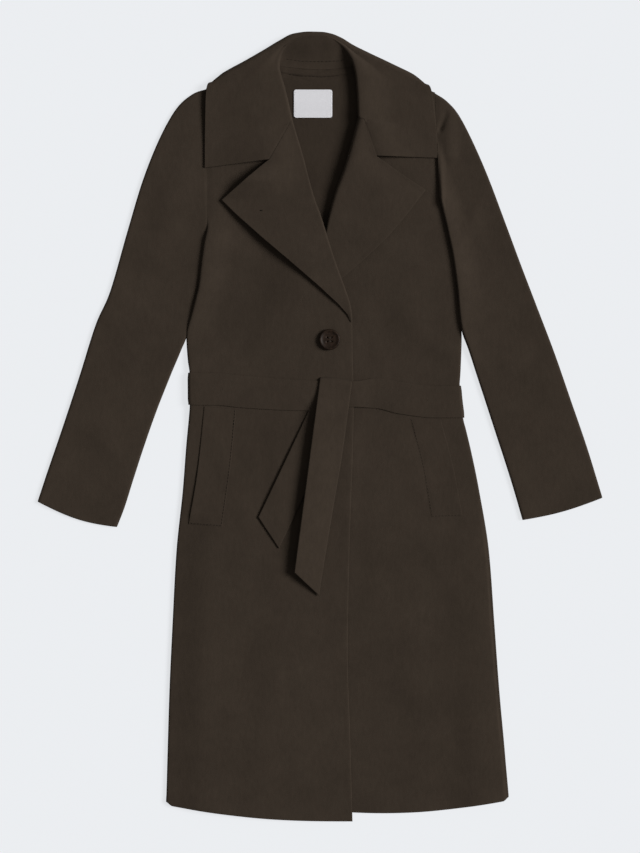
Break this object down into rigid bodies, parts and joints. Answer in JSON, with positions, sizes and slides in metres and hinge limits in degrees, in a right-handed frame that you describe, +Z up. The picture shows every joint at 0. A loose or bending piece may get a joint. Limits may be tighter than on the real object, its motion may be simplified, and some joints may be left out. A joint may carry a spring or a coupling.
{
  "type": "coat",
  "caption": "Long wool coat laid flat on its back, with notched collar and lapels, a tie belt with hanging ends, slanted welt pockets, flattened sleeves and a sewn-through button.",
  "frame": {"origin": "centre of the coat's plan outline on the surface that it lies on", "axes": "+X towards the wearer's left side, +Y along the coat towards the collar, +Z up from the surface"},
  "size_m": [0.8092, 1.13, 0.0211],
  "materials": {
    "brown_wool": "matte felted double-faced wool, very dark brown",
    "brown_wool_inside": "matte felted double-faced wool, inner face, very dark brown",
    "brown_horn": "polished dark brown horn-look resin",
    "white_label": "white woven label tape, bare"
  },
  "bodies": {
    "root": {"back": "brown_wool_inside", "front_right": "brown_wool", "front_left": "brown_wool", "lapel_right": "brown_wool", "lapel_left": "brown_wool", "collar": "brown_wool", "sleeve_right": "brown_wool", "sleeve_left": "brown_wool", "pocket_welt_right": "brown_wool", "pocket_welt_left": "brown_wool", "belt": "brown_wool", "belt_tie_over": "brown_wool", "belt_tie_under": "brown_wool", "button": "brown_horn", "label": "white_label"}
  },
  "joints": []
}
